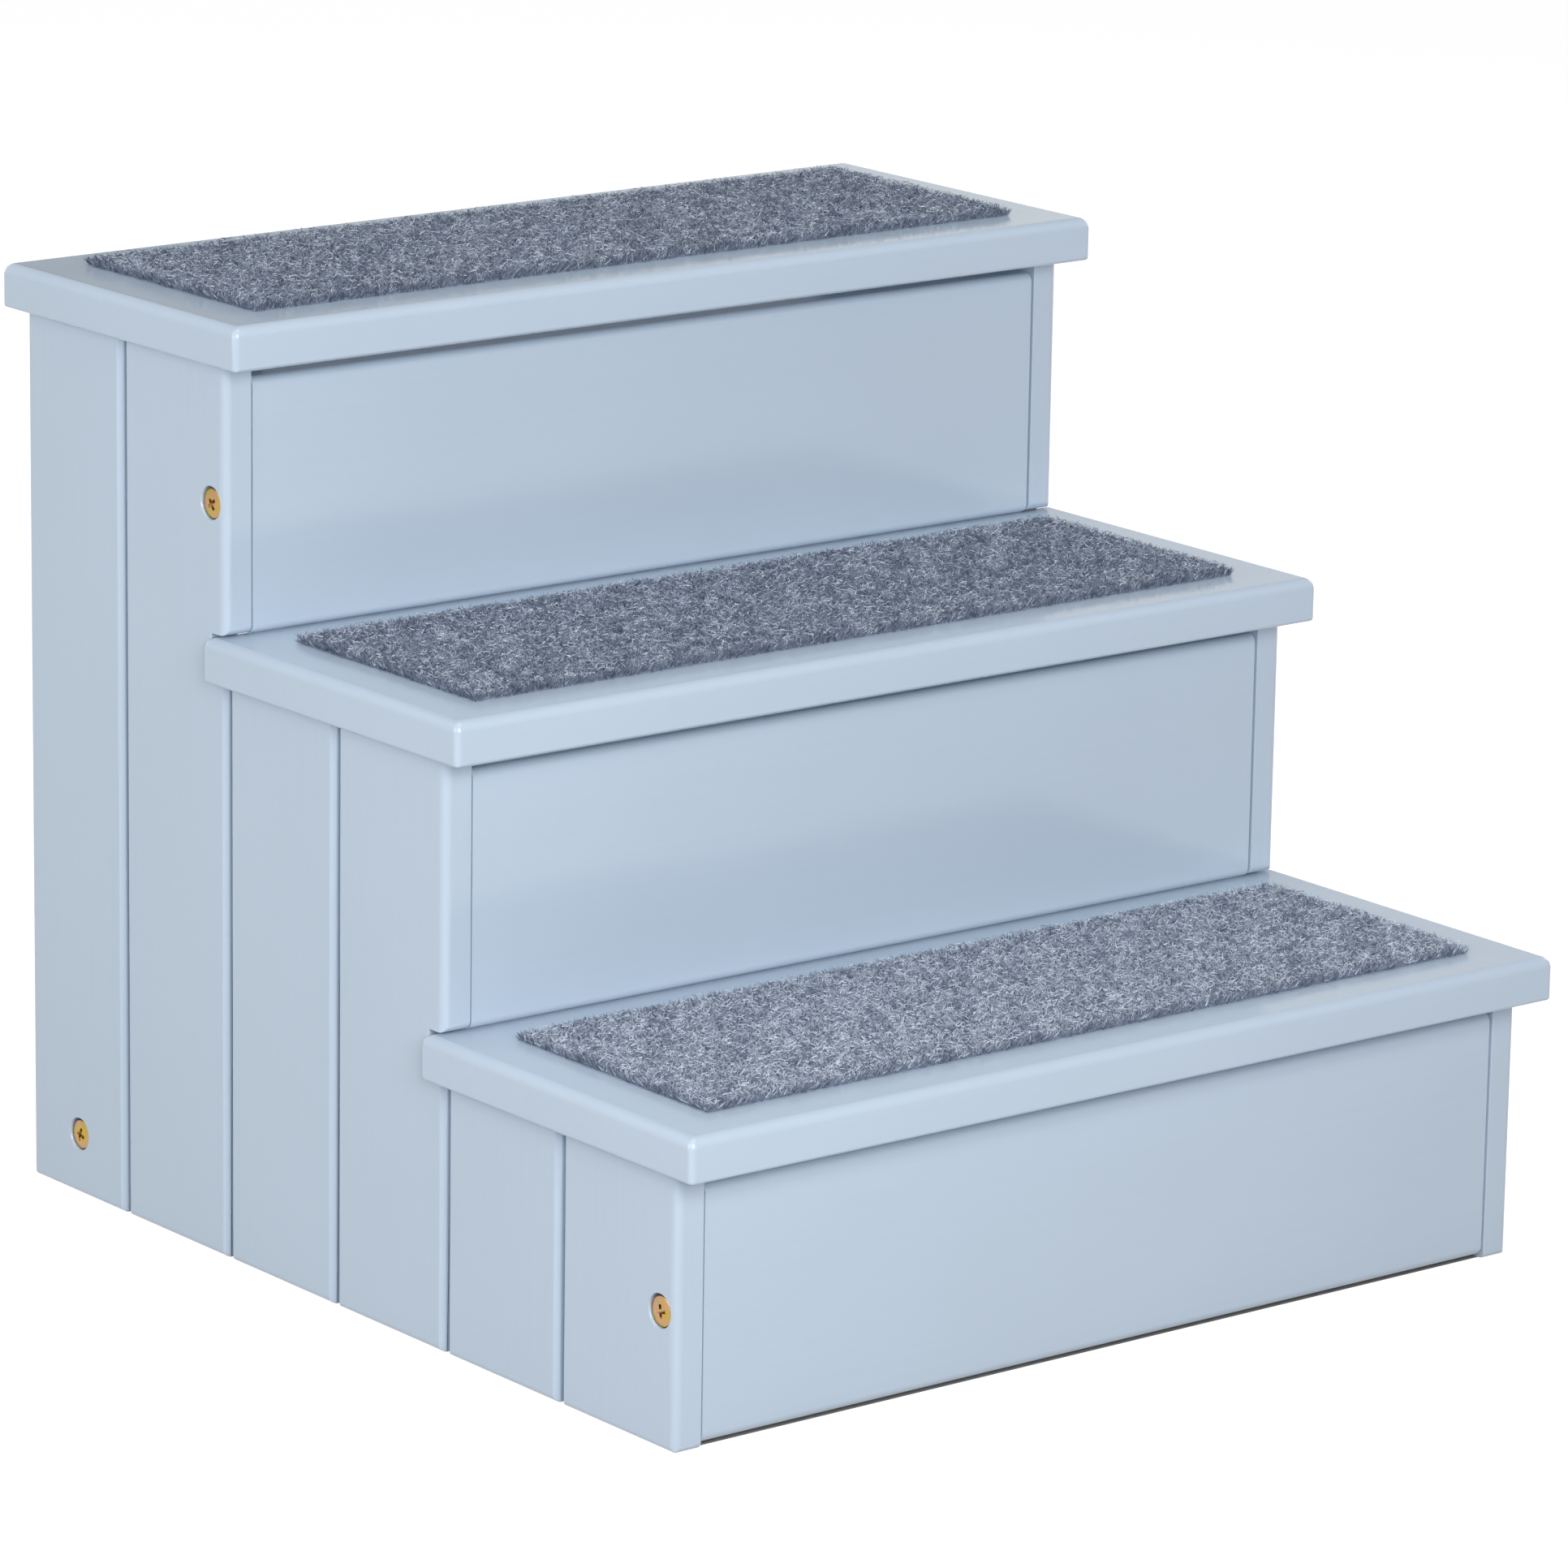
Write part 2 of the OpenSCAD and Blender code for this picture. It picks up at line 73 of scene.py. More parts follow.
bpy.ops.object.camera_add()
camera = bpy.context.object
camera.name = "photo_camera"
camera.data.lens = CAMERA_LENS
camera.data.sensor_width = CAMERA_SENSOR
camera.data.clip_end = CAMERA_REACH
camera.matrix_world = (
    Matrix.Translation(CAMERA_PLACE)
    @ Matrix.Rotation(CAMERA_HEADING, 4, "Z")
    @ Matrix.Rotation(math.pi / 2 - CAMERA_DIP, 4, "X")
    @ Matrix.Rotation(CAMERA_ROLL, 4, "Z")
)
bpy.context.scene.camera = camera


# Side boards
# Twelve upright softwood boards, six a side, tongued and grooved into each other with open
# vee joints. They are cut as the frame has them, and sanding and the sprayed paint then
# soften every edge a little, those of the bolts' counterbores least.
MM = 0.001
BOARD_NUMBERS = range(1, 7)
BOARD_EASE = 0.45 * MM
EASE_FACETS = 3
BORE_R = 7.2 * MM
BORE_EASE = 0.35
BORE_RINGS = ((6.2 * MM, 6.85 * MM, 0.955), (6.85 * MM, 7.6 * MM, 0.925))
FOOT_OVER = {3: "lower_tread", 5: "middle_tread"}
FOOT_DEPTH = 10.5 * MM
FOOT_CLEAR = 0.5 * MM
FOOT_ROUND = 4.6 * MM
FOOT_DROP = 0.6 * MM
MERGE_GAP = 0.002 * MM
FLAT_ANGLE = math.radians(0.6)
SHARP_ANGLE = math.radians(30)
FLAT_FACES_LEAD = 100
PAINT_LIGHT = (0.482, 0.577, 0.690, 1)
PAINT_DARK = (0.464, 0.557, 0.668, 1)
PAINT_GLOSS = (0.09, 0.14)
PAINT_CLOUD = 90 * MM
PAINT_RELIEF = 0.03 * MM
PAINT_RELIEF_FORCE = 0.35
ORANGE_PEEL = 0.9 * MM
GRAIN_WIDTH = 1.6 * MM
GRAIN_LENGTH = 60 * MM
GRAIN_DETAIL = 3
GRAIN_IN_COLOUR = 0.4
GRAIN_IN_RELIEF = 0.5
NOISE_SWING = (0.2, 0.8)


def shader_node(tree, kind, inputs=None, **settings):
    """Adds a shader node with its settings; inputs are plain values or other nodes' sockets."""
    node = tree.nodes.new("ShaderNode" + kind)
    for name, value in settings.items():
        setattr(node, name, value)
    for name, value in (inputs or {}).items():
        if isinstance(value, bpy.types.NodeSocket):
            tree.links.new(value, node.inputs[name])
        else:
            node.inputs[name].default_value = value
    return node


def new_material(name):
    material = bpy.data.materials.new(name)
    material.use_nodes = True
    tree = material.node_tree
    return material, tree, tree.nodes["Principled BSDF"]


def noise(tree, place, size, detail=2):
    """Cloudy noise whose lumps have one size, or three sizes along X, Y and Z."""
    if isinstance(size, float):
        scale = 1 / size
    else:
        scale = 1
        stretch = [1 / length for length in size]
        mapping = shader_node(tree, "Mapping", {"Vector": place, "Scale": stretch})
        place = mapping.outputs["Vector"]
    return shader_node(
        tree, "TexNoise", {"Vector": place, "Scale": scale, "Detail": detail}
    ).outputs["Fac"]


def rescaled(tree, value, old, new, **settings):
    """Carries a value from its old range to a new one."""
    return shader_node(
        tree,
        "MapRange",
        {
            "Value": value,
            "From Min": old[0],
            "From Max": old[1],
            "To Min": new[0],
            "To Max": new[1],
        },
        **settings,
    ).outputs["Result"]


def spread(tree, factor, low, high):
    """Turns a noise into a number that swings smoothly between low and high."""
    return rescaled(tree, factor, NOISE_SWING, (low, high), interpolation_type="SMOOTHSTEP")


def two_tone(tree, surface, factor, first, second):
    """Colours a surface between two tones, as a factor goes from 0 to 1."""
    tint = shader_node(tree, "MixRGB", {"Fac": factor, "Color1": first, "Color2": second})
    tree.links.new(tint.outputs["Color"], surface.inputs["Base Color"])


def relief(tree, surface, height, force, depth):
    """Gives a surface the relief that is too fine for its mesh."""
    bump = shader_node(tree, "Bump", {"Height": height, "Strength": force, "Distance": depth})
    tree.links.new(bump.outputs["Normal"], surface.inputs["Normal"])


def sprayed_paint(name, grain_axis):
    """Satin grey-blue paint that shows a trace of the wood's grain, which runs along an axis."""
    material, tree, surface = new_material(name)
    place = shader_node(tree, "TexCoord").outputs["Object"]
    grain_size = [GRAIN_WIDTH] * 3
    grain_size["XYZ".index(grain_axis)] = GRAIN_LENGTH
    clouds = noise(tree, place, PAINT_CLOUD)
    grain = noise(tree, place, grain_size, GRAIN_DETAIL)
    cover = shader_node(tree, "Mix", {"Factor": GRAIN_IN_COLOUR, "A": clouds, "B": grain})
    shade = spread(tree, cover.outputs["Result"], 0, 1)
    two_tone(tree, surface, shade, PAINT_DARK, PAINT_LIGHT)
    tree.links.new(spread(tree, clouds, *PAINT_GLOSS), surface.inputs["Roughness"])
    peel = noise(tree, place, ORANGE_PEEL)
    height = shader_node(tree, "Mix", {"Factor": GRAIN_IN_RELIEF, "A": peel, "B": grain})
    relief(tree, surface, height.outputs["Result"], PAINT_RELIEF_FORCE, PAINT_RELIEF)
    return material


def softened_copy(node, piece_name, ease, spare=()):
    """A copy of a frame piece, merged, with its flat faces made whole and its edges eased.

    Edges that circle a place in spare, which lies across X, get only a share of the ease.
    """
    piece = bpy.data.objects.new(piece_name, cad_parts[node].data.copy())
    bpy.context.collection.objects.link(piece)
    bpy.ops.object.select_all(action="DESELECT")
    piece.select_set(True)
    bpy.context.view_layer.objects.active = piece
    bpy.ops.object.mode_set(mode="EDIT")
    bpy.ops.mesh.select_all(action="SELECT")
    bpy.ops.mesh.customdata_custom_splitnormals_clear()
    bpy.ops.mesh.remove_doubles(threshold=MERGE_GAP)
    bpy.ops.mesh.dissolve_limited(angle_limit=FLAT_ANGLE)
    bpy.ops.mesh.select_mode(type="EDGE")
    bpy.ops.mesh.select_all(action="DESELECT")
    bpy.ops.mesh.edges_select_sharp(sharpness=SHARP_ANGLE)
    bpy.ops.object.mode_set(mode="OBJECT")
    weights = piece.data.attributes.new("bevel_weight_edge", "FLOAT", "EDGE")
    for edge in piece.data.edges:
        ends = [piece.data.vertices[v].co for v in edge.vertices]
        spared = any(
            all(math.hypot(end.y - y, end.z - z) < BORE_R for end in ends) for y, z in spare
        )
        weights.data[edge.index].value = edge.select * (BORE_EASE if spared else 1)
    soften = piece.modifiers.new("soften", "BEVEL")
    soften.width = ease
    soften.segments = EASE_FACETS
    soften.limit_method = "WEIGHT"
    soften.use_clamp_overlap = False
    bpy.ops.object.modifier_apply(modifier=soften.name)
    return piece


def smooth(piece):
    """Shades a piece smooth, and keeps its flat faces flat up to their rounded edges."""
    bpy.ops.object.select_all(action="DESELECT")
    piece.select_set(True)
    bpy.context.view_layer.objects.active = piece
    bpy.ops.object.shade_smooth_by_angle(angle=SHARP_ANGLE)
    flat = piece.modifiers.new("flat", "WEIGHTED_NORMAL")
    flat.weight = FLAT_FACES_LEAD
    flat.keep_sharp = True
    bpy.ops.object.modifier_apply(modifier=flat.name)


def finish(piece, material, node):
    """Gives a piece its one material, hangs it on the root body, and puts it in a frame piece's
    stead.
    """
    piece.data.materials.clear()
    piece.data.materials.append(material)
    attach(piece, "root")
    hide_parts(node)


def pick_corners(piece, wanted):
    """Selects, in edit mode, only the corners of a piece that lie at wanted places."""
    bpy.ops.object.mode_set(mode="EDIT")
    bpy.ops.mesh.select_mode(type="VERT")
    bpy.ops.mesh.select_all(action="DESELECT")
    bpy.ops.object.mode_set(mode="OBJECT")
    for vertex in piece.data.vertices:
        vertex.select = wanted(vertex.co)
    bpy.ops.object.mode_set(mode="EDIT")


def slide(piece, wanted, step):
    """Moves the corners of a piece that lie at wanted places, by one step."""
    pick_corners(piece, wanted)
    bpy.ops.transform.translate(value=step)
    bpy.ops.object.mode_set(mode="OBJECT")


def draw_in(piece, wanted, shares, about):
    """Draws the corners of a piece that lie at wanted places in towards a point."""
    pick_corners(piece, wanted)
    bpy.ops.transform.resize(value=shares, center_override=about)
    bpy.ops.object.mode_set(mode="OBJECT")


upright_paint = sprayed_paint("upright_paint", "Z")
bolt_y_z = []
for holder in ("lower_riser", "upper_riser", "rear_rail"):
    low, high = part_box(holder)
    bolt_y_z.append(((low.y + high.y) / 2, (low.z + high.z) / 2))
for side in ("left", "right"):
    for number in BOARD_NUMBERS:
        node = f"{side}_board_{number}"
        board = softened_copy(node, f"{side}_side_board_{number}", BOARD_EASE, bolt_y_z)
        if number in FOOT_OVER:
            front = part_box(node)[0].y
            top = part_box(FOOT_OVER[number])[1].z
            slide(
                board,
                lambda place: place.y < front + FOOT_DEPTH
                and top + FOOT_CLEAR < place.z < top + FOOT_ROUND,
                (0, 0, -FOOT_DROP),
            )
        for y, z in bolt_y_z:
            for inner, outer, share in BORE_RINGS:
                draw_in(
                    board,
                    lambda place: inner < math.hypot(place.y - y, place.z - z) < outer,
                    (1, share, share),
                    (0, y, z),
                )
        smooth(board)
        finish(board, upright_paint, node)


# Risers, rear rail and cleats
# The risers close the front of each step, their faces a hair short of the sides and of the
# tread above. The rail and the cleats tie the stairs together inside. All are sawn, sanded
# and sprayed like the boards.
STEPS = ("lower", "middle", "upper")
RISER_END_GAP = 0.8 * MM
RISER_FACE_DEPTH = 4 * MM
RISER_HEAD = 4.2 * MM
RISER_HEAD_DROP = 2.7 * MM
RISER_BACK_EDGE = 1 * MM
RISER_BACK_DROP = 1.7 * MM
RISER_FOOT = (3 * MM, 0.7 * MM)
RISER_FOOT_LIFT = 0.55 * MM

cross_paint = sprayed_paint("cross_paint", "X")
for step in STEPS:
    node = step + "_riser"
    riser = softened_copy(node, step + "_riser_board", BOARD_EASE)
    low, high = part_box(node)
    slide(
        riser,
        lambda place: place.y < low.y + RISER_FACE_DEPTH and place.z > high.z - RISER_HEAD,
        (0, 0, -RISER_HEAD_DROP),
    )
    slide(
        riser,
        lambda place: place.y > high.y - RISER_BACK_EDGE
        and place.z > high.z - RISER_BACK_EDGE,
        (0, 0, -RISER_BACK_DROP),
    )
    if step != "lower":
        depth, height = RISER_FOOT
        slide(
            riser,
            lambda place: place.y < low.y + depth and place.z < low.z + height,
            (0, 0, RISER_FOOT_LIFT),
        )
    draw_in(
        riser,
        lambda place: place.y < low.y + RISER_FACE_DEPTH,
        (1 - RISER_END_GAP / high.x, 1, 1),
        (0, 0, 0),
    )
    smooth(riser)
    finish(riser, cross_paint, node)

rail = softened_copy("rear_rail", "rear_bottom_rail", BOARD_EASE)
smooth(rail)
finish(rail, cross_paint, "rear_rail")

cleat_paint = sprayed_paint("cleat_paint", "Y")
for side in ("left", "right"):
    for step in STEPS:
        node = f"{side}_{step}_cleat"
        cleat = softened_copy(node, f"{side}_{step}_tread_cleat", BOARD_EASE)
        smooth(cleat)
        finish(cleat, cleat_paint, node)


# Treads
# Three solid boards that stand proud of the sides and risers. Their top edges are routed
# to a wide round, the bottom edges and the upright corners to small ones, and the paint
# flows over them without a crease.
TREAD_TOP_ROUND = 4 * MM
TREAD_CORNER_ROUND = 2.5 * MM
TREAD_BOTTOM_ROUND = 1.5 * MM
TREAD_FACETS = 8


def routed_tread(node, piece_name):
    low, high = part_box(node)
    bpy.ops.object.select_all(action="DESELECT")
    bpy.ops.mesh.primitive_cube_add(size=1, location=(low + high) / 2, scale=high - low)
    piece = bpy.context.object
    piece.name = piece_name
    bpy.ops.object.transform_apply(location=True, rotation=True, scale=True)
    middle = (low.z + high.z) / 2
    weights = piece.data.attributes.new("bevel_weight_edge", "FLOAT", "EDGE")
    for edge in piece.data.edges:
        first, second = (piece.data.vertices[v].co for v in edge.vertices)
        if abs(first.z - second.z) > MERGE_GAP:
            radius = TREAD_CORNER_ROUND
        elif first.z > middle:
            radius = TREAD_TOP_ROUND
        else:
            radius = TREAD_BOTTOM_ROUND
        weights.data[edge.index].value = radius / TREAD_TOP_ROUND
    routed = piece.modifiers.new("routed", "BEVEL")
    routed.width = TREAD_TOP_ROUND
    routed.segments = TREAD_FACETS
    routed.limit_method = "WEIGHT"
    bpy.ops.object.modifier_apply(modifier=routed.name)
    return piece


for step in STEPS:
    node = step + "_tread"
    tread = routed_tread(node, step + "_tread_board")
    smooth(tread)
    finish(tread, cross_paint, node)


# Bolts
# Six furniture bolts, three in each side, sunk in counterbores. The domed heads have a
# cross recess that a driver fits, and the steel is zinc plated and passivated yellow,
# which turns pink and green where the film is thicker.
BOLT_HEAD_R = 5.75 * MM
BOLT_HEAD_H = 3 * MM
BOLT_RIM_H = 2.45 * MM
BOLT_SHANK_R = 3 * MM
BOLT_LENGTH = 50 * MM
BOLT_SIDES = 64
DOME_RINGS = 6
CROSS_SPAN = 9.6 * MM
CROSS_ARM = 1.8 * MM
CROSS_DEPTH = 2.3 * MM
CROSS_TIP = (0.15, 0.6)
BOLT_EASE = 0.3 * MM
BOLT_SEAT = 3.4 * MM
BOLT_SAG = 0.3 * MM
CROSS_TURNS = (8, 35, -18)
ZINC_FILM = {
    0: (0.52, 0.28, 0.20, 1),
    0.3: (0.49, 0.31, 0.11, 1),
    0.5: (0.44, 0.34, 0.045, 1),
    0.78: (0.54, 0.27, 0.19, 1),
    1: (0.32, 0.34, 0.07, 1),
}
ZINC_PATCH = 5 * MM
ZINC_GLOSS = (0.22, 0.38)
ZINC_GLOSS_PATCH = 1.2 * MM
ZINC_PIT = 0.35 * MM
ZINC_PIT_DEPTH = 0.02 * MM
ZINC_PIT_FORCE = 0.4


def faces_by_height(piece, wanted):
    """Selects, in edit mode, the faces whose corners all lie at a wanted height."""
    bpy.ops.object.mode_set(mode="EDIT")
    bpy.ops.mesh.select_all(action="DESELECT")
    bpy.ops.object.mode_set(mode="OBJECT")
    for face in piece.data.polygons:
        face.select = all(wanted(piece.data.vertices[v].co.z) for v in face.vertices)
    bpy.ops.object.mode_set(mode="EDIT")


def bolt_head_and_shank():
    """A bolt that points down, with the seat under its head at the origin."""
    bpy.ops.object.select_all(action="DESELECT")
    bpy.ops.mesh.primitive_cylinder_add(
        vertices=BOLT_SIDES, radius=BOLT_HEAD_R, depth=BOLT_RIM_H, location=(0, 0, BOLT_RIM_H / 2)
    )
    piece = bpy.context.object
    bpy.ops.object.transform_apply(location=True, rotation=True, scale=True)
    rise = BOLT_HEAD_H - BOLT_RIM_H
    dome_r = (BOLT_HEAD_R**2 + rise**2) / (2 * rise)
    bpy.ops.object.mode_set(mode="EDIT")
    bpy.ops.mesh.select_mode(type="FACE")
    faces_by_height(piece, lambda z: z > BOLT_RIM_H - MERGE_GAP)
    radius, height = BOLT_HEAD_R, BOLT_RIM_H
    for ring in range(1, DOME_RINGS):
        next_radius = BOLT_HEAD_R * (1 - ring / DOME_RINGS)
        next_height = BOLT_HEAD_H - dome_r + math.sqrt(dome_r**2 - next_radius**2)
        bpy.ops.mesh.inset(thickness=radius - next_radius)
        bpy.ops.transform.translate(value=(0, 0, next_height - height))
        radius, height = next_radius, next_height
    faces_by_height(piece, lambda z: z < MERGE_GAP)
    bpy.ops.mesh.inset(thickness=BOLT_HEAD_R - BOLT_SHANK_R)
    bpy.ops.mesh.extrude_region_move(TRANSFORM_OT_translate={"value": (0, 0, -BOLT_LENGTH)})
    bpy.ops.object.mode_set(mode="OBJECT")
    return piece


def cut_cross(piece):
    """Cuts the cross recess: two blades at right angles that narrow towards their points."""
    for turn in (0, math.pi / 2):
        bpy.ops.object.select_all(action="DESELECT")
        bpy.ops.mesh.primitive_cube_add(
            size=1, location=(0, 0, BOLT_HEAD_H), scale=(CROSS_SPAN, CROSS_ARM, 2 * CROSS_DEPTH)
        )
        blade = bpy.context.object
        bpy.ops.object.transform_apply(location=True, rotation=True, scale=True)
        faces_by_height(blade, lambda z: z < BOLT_HEAD_H)
        bpy.ops.transform.resize(value=(*CROSS_TIP, 1))
        bpy.ops.object.mode_set(mode="OBJECT")
        blade.rotation_euler.z = turn
        cut = piece.modifiers.new("cut", "BOOLEAN")
        cut.object = blade
        cut.operation = "DIFFERENCE"
        bpy.ops.object.select_all(action="DESELECT")
        bpy.context.view_layer.objects.active = piece
        bpy.ops.object.modifier_apply(modifier=cut.name)
        bpy.data.objects.remove(blade)


def many_tones(tree, surface, factor, tones):
    """Colours a surface by a scale of tones, each at its place between 0 and 1."""
    scale = shader_node(tree, "ValToRGB", {"Fac": factor})
    marks = scale.color_ramp.elements
    first, *between, last = tones
    marks[0].color = tones[first]
    marks[1].color = tones[last]
    for mark in between:
        marks.new(mark).color = tones[mark]
    tree.links.new(scale.outputs["Color"], surface.inputs["Base Color"])


def yellow_zinc(name):
    """Zinc plate under a yellow film, which is pitted and thicker in some places."""
    material, tree, surface = new_material(name)
    place = shader_node(tree, "TexCoord").outputs["Object"]
    film = spread(tree, noise(tree, place, ZINC_PATCH), 0, 1)
    many_tones(tree, surface, film, ZINC_FILM)
    surface.inputs["Metallic"].default_value = 1.0
    gloss = spread(tree, noise(tree, place, ZINC_GLOSS_PATCH), *ZINC_GLOSS)
    tree.links.new(gloss, surface.inputs["Roughness"])
    relief(tree, surface, noise(tree, place, ZINC_PIT), ZINC_PIT_FORCE, ZINC_PIT_DEPTH)
    return material


zinc = yellow_zinc("yellow_zinc")
pattern = bolt_head_and_shank()
rim = pattern.modifiers.new("rim", "BEVEL")
rim.width = BOLT_EASE
rim.segments = EASE_FACETS
rim.limit_method = "ANGLE"
rim.angle_limit = SHARP_ANGLE
rim.use_clamp_overlap = False
bpy.ops.object.modifier_apply(modifier=rim.name)
cut_cross(pattern)

half_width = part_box("right_board_1")[1].x
seat_x = half_width - BOLT_SEAT
for side, sign in (("left", -1), ("right", 1)):
    for (y, z), turn, spot in zip(bolt_y_z, CROSS_TURNS, ("front", "top", "rear")):
        bolt = bpy.data.objects.new(f"{side}_{spot}_bolt", pattern.data.copy())
        bpy.context.collection.objects.link(bolt)
        bolt.matrix_world = (
            Matrix.Translation((sign * seat_x, y, z - BOLT_SAG))
            @ Matrix.Rotation(sign * math.pi / 2, 4, "Y")
            @ Matrix.Rotation(math.radians(turn), 4, "Z")
        )
        bpy.ops.object.select_all(action="DESELECT")
        bolt.select_set(True)
        bpy.context.view_layer.objects.active = bolt
        bpy.ops.object.transform_apply(location=True, rotation=True, scale=True)
        smooth(bolt)
        finish(bolt, zinc, "side_bolts")
bpy.data.objects.remove(pattern)


# Hidden fasteners
# Barrel nuts let into the risers and the rail, wood screws through the cleats, and dowels
# in the ends of the risers and the rail. The steel has the bolts' plating, and the dowels
# are bare beech.
BEECH_DARK = (0.44, 0.27, 0.14, 1)
BEECH_LIGHT = (0.60, 0.42, 0.25, 1)
BEECH_GRAIN = (14 * MM, 0.8 * MM, 0.8 * MM)
BEECH_GRAIN_DETAIL = 5
BEECH_GLOSS = (0.72, 0.58)
BEECH_RELIEF = 0.05 * MM
BEECH_RELIEF_FORCE = 0.3


def beech_wood(name):
    """Bare beech, whose grain runs along the dowels."""
    material, tree, surface = new_material(name)
    place = shader_node(tree, "TexCoord").outputs["Object"]
    grain = noise(tree, place, BEECH_GRAIN, BEECH_GRAIN_DETAIL)
    two_tone(tree, surface, spread(tree, grain, 0, 1), BEECH_DARK, BEECH_LIGHT)
    tree.links.new(spread(tree, grain, *BEECH_GLOSS), surface.inputs["Roughness"])
    relief(tree, surface, grain, BEECH_RELIEF_FORCE, BEECH_RELIEF)
    return material


for node in ("barrel_nuts", "cleat_screws", "tread_screws"):
    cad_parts[node].material_slots[0].material = zinc
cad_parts["dowels"].material_slots[0].material = beech_wood("beech")


# Carpet mats
# Three mats of heather cut pile glued to the treads, each cut from a broadloom carpet. A
# mat is a felted backing under a dense bed of roots. Its yarn stands up in tufts of slate,
# mid and pale grey fibres, and the ends of the fibres curl over and mat together on top.
MAT_BED = 2.0 * MM
MAT_BED_INSET = 0.8 * MM
MAT_BED_WAVE = 0.5 * MM
MAT_CELL = 1.6 * MM
MAT_EDGE_ROUND = 0.9 * MM
TUFT_PITCH = 1.75 * MM
TUFT_FIBRES = 3
TUFT_WIDTH = 0.25 * TUFT_PITCH
STRAY_IN_CELL = 0.4
FIBRE_SIDES = 3
FIBRE_R = 0.26 * MM
FIBRE_R_RANGE = (0.75, 1.25)
FIBRE_HEIGHT = (2.2 * MM, 3.9 * MM)
FIBRE_ROOT = 1.0 * MM
FIBRE_SPLAY = 0.5
FIBRE_ASIDE = (0.3, 1, 0.2)
PILE_LAY = 0.25
PILE_LAY_WAVES = (14 * MM, 11 * MM)
PILE_SWELL = 0.08
PILE_SWELL_WAVE = 9 * MM
DRIFT_SHAPE = (1.7, 0.8, 1.3, 0.4)
CURL_PITCH = 1.1 * MM
CURL_R = 0.22 * MM
CURL_LENGTH = (1.5 * MM, 3.2 * MM)
CURL_LEVEL = (2.2 * MM, 4.5 * MM)
CURL_SWELL = 0.25 * MM
CURL_RISE = (-0.25, 1.1)
CURL_INSET = 1.3 * MM
EDGE_LEAN = 0.6
EDGE_REACH = 3.0 * MM
EDGE_PITCH = 0.5 * MM
EDGE_ROWS = 3
EDGE_BAND = (0.2 * MM, 1.4 * MM)
EDGE_ROOT = (0.1 * MM, 1.8 * MM)
EDGE_HEIGHT = (1.2 * MM, 3.0 * MM)
EDGE_SPILL = (0.1, 1.1)
EDGE_SPLAY = 0.3
# Painted shade: the fibres along a mat's edges are drawn darker, towards slate, for the shade on
# the fringe's upright sides and roots.
EDGE_PAINTED_SHADE = 0.5
CLUMP = 3.2 * MM
CLUMP_SHARE, TUFT_SHARE, FIBRE_SHARE = 0.2, 0.45, 0.35
SHADE_CONTRAST = 2.0
SHADE_OF_MAT = {"lower": 0.1, "middle": -0.03, "upper": -0.01}
PILE_SEED = 41
YARN_SLATE = (0.080, 0.105, 0.155, 1)
YARN_MID = (0.250, 0.300, 0.395, 1)
YARN_PALE = (0.590, 0.645, 0.740, 1)
YARN_GLOSS = (0.75, 0.95)
YARN_FUZZ = 0.4 * MM
YARN_FUZZ_DEPTH = 0.1 * MM
YARN_FUZZ_FORCE = 0.5
FELT_FLECK = 0.9 * MM
FELT_FLECK_DETAIL = 3
FELT_GLOSS = 0.95
FELT_RELIEF = 0.4 * MM
FELT_RELIEF_FORCE = 0.8


def pile_yarn(name):
    """Wool-like yarn, in which each fibre has a shade of its own between slate and pale."""
    material, tree, surface = new_material(name)
    place = shader_node(tree, "TexCoord").outputs["Object"]
    shade = shader_node(tree, "Attribute", attribute_name="shade").outputs["Fac"]
    many_tones(tree, surface, shade, {0: YARN_SLATE, 0.5: YARN_MID, 1: YARN_PALE})
    fuzz = noise(tree, place, YARN_FUZZ)
    tree.links.new(spread(tree, fuzz, *YARN_GLOSS), surface.inputs["Roughness"])
    relief(tree, surface, fuzz, YARN_FUZZ_FORCE, YARN_FUZZ_DEPTH)
    return material


def pile_bed_felt(name):
    """The matted roots of the yarn, slate with lighter flecks."""
    material, tree, surface = new_material(name)
    place = shader_node(tree, "TexCoord").outputs["Object"]
    flecks = spread(tree, noise(tree, place, FELT_FLECK, FELT_FLECK_DETAIL), 0, 1)
    two_tone(tree, surface, flecks, YARN_SLATE, YARN_MID)
    surface.inputs["Roughness"].default_value = FELT_GLOSS
    relief(tree, surface, flecks, FELT_RELIEF_FORCE, FELT_RELIEF)
    return material


